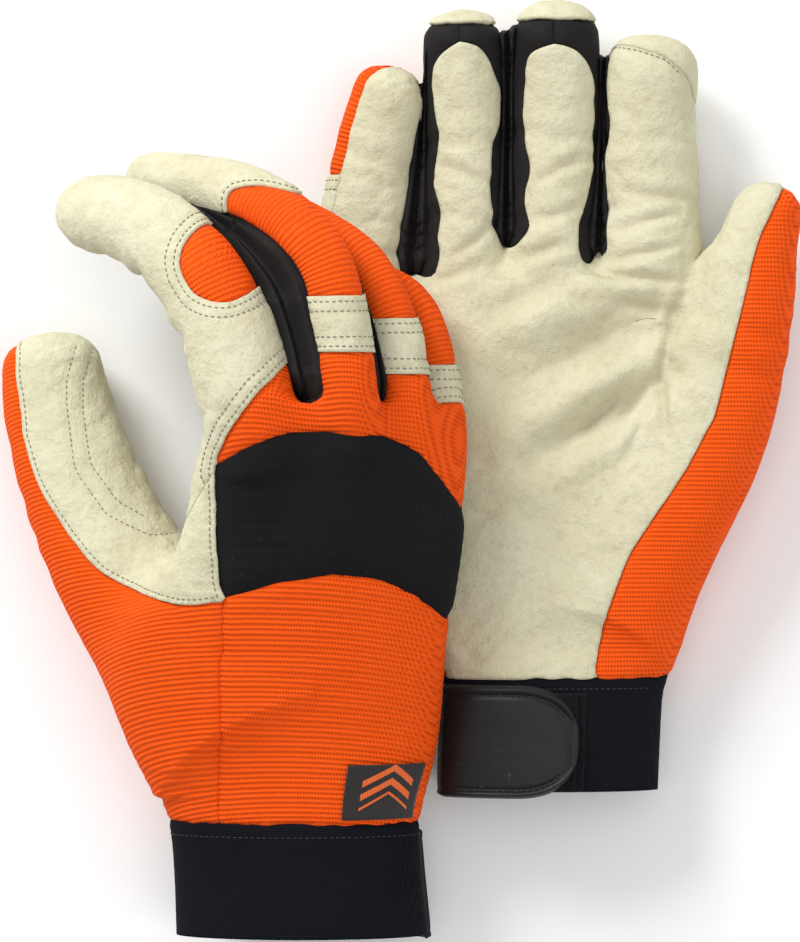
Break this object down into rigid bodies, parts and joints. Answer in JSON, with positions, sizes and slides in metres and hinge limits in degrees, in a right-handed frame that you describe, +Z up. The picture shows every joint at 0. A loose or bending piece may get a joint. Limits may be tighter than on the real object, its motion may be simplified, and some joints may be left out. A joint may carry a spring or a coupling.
{
  "type": "work gloves",
  "caption": "Pair of leather-palmed work gloves with cloth backs, padded knuckle bands, elastic cuffs and hook-and-loop wrist straps; one lies palm up, the other leans on it.",
  "frame": {"origin": "centre of the pair's outline, on the surface that it lies on", "axes": "+X across the pair to the rear glove, +Y to the fingertips, +Z up from the surface"},
  "size_m": [0.251, 0.2956, 0.0888],
  "materials": {
    "leather": "grain leather, matte",
    "orange_cloth": "fine ribbed stretch knit",
    "neoprene": "cloth-faced foam rubber, matte",
    "gusset_cloth": "smooth stretch cloth",
    "cuff_elastic": "ribbed woven elastic",
    "strap_face": "moulded soft plastic, half gloss",
    "strap_edging": "turned edging with stitching",
    "hook_and_loop": "hook and loop tape",
    "label_cloth": "woven tape with plain stripes"
  },
  "bodies": {
    "rear_glove": {"rear_palm_leather": "leather", "rear_thumb_leather": "leather", "rear_thumb_panel": "orange_cloth", "rear_knuckle_band": "neoprene", "rear_lower_back": "orange_cloth", "rear_upper_back": "orange_cloth", "rear_index_window": "orange_cloth", "rear_index_leather": "leather", "rear_middle_knuckle_strip": "leather", "rear_middle_back": "orange_cloth", "rear_middle_cap": "leather", "rear_ring_knuckle_strip": "leather", "rear_ring_back": "orange_cloth", "rear_ring_cap": "leather", "rear_little_knuckle_strip": "leather", "rear_little_back": "orange_cloth", "rear_index_middle_gusset": "gusset_cloth", "rear_middle_ring_gusset": "gusset_cloth", "rear_ring_little_gusset": "gusset_cloth", "rear_cuff": "cuff_elastic", "rear_loop_patch": "hook_and_loop", "rear_strap_root": "strap_face", "rear_label": "label_cloth"},
    "rear_strap": {"rear_strap": "strap_face", "rear_strap_binding": "strap_edging", "rear_hook_patch": "hook_and_loop"},
    "front_glove": {"front_palm_leather": "leather", "front_thumb_leather": "leather", "front_thumb_panel": "orange_cloth", "front_knuckle_band": "neoprene", "front_lower_back": "orange_cloth", "front_upper_back": "orange_cloth", "front_index_window": "orange_cloth", "front_index_leather": "leather", "front_middle_knuckle_strip": "leather", "front_middle_back": "orange_cloth", "front_middle_cap": "leather", "front_ring_knuckle_strip": "leather", "front_ring_back": "orange_cloth", "front_ring_cap": "leather", "front_little_knuckle_strip": "leather", "front_little_back": "orange_cloth", "front_index_middle_gusset": "gusset_cloth", "front_middle_ring_gusset": "gusset_cloth", "front_ring_little_gusset": "gusset_cloth", "front_cuff": "cuff_elastic", "front_loop_patch": "hook_and_loop", "front_strap_root": "strap_face", "front_label": "label_cloth"},
    "front_strap": {"front_strap": "strap_face", "front_strap_binding": "strap_edging", "front_hook_patch": "hook_and_loop"}
  },
  "joints": [
    {"name": "front_lift", "type": "slide", "parent": "rear_glove", "child": "front_glove", "axis": [0, 0, 1], "range_m": [0, 0.12]},
    {"name": "rear_strap_hinge", "type": "hinge", "parent": "rear_glove", "child": "rear_strap", "pos_m": [0.0211, -0.0845, 0.0296], "axis": [0, -1, 0], "range_deg": [0, 100]},
    {"name": "front_strap_hinge", "type": "hinge", "parent": "front_glove", "child": "front_strap", "pos_m": [-0.0021, -0.1298, 0.0089], "axis": [0, -1, 0], "range_deg": [0, 110]}
  ]
}
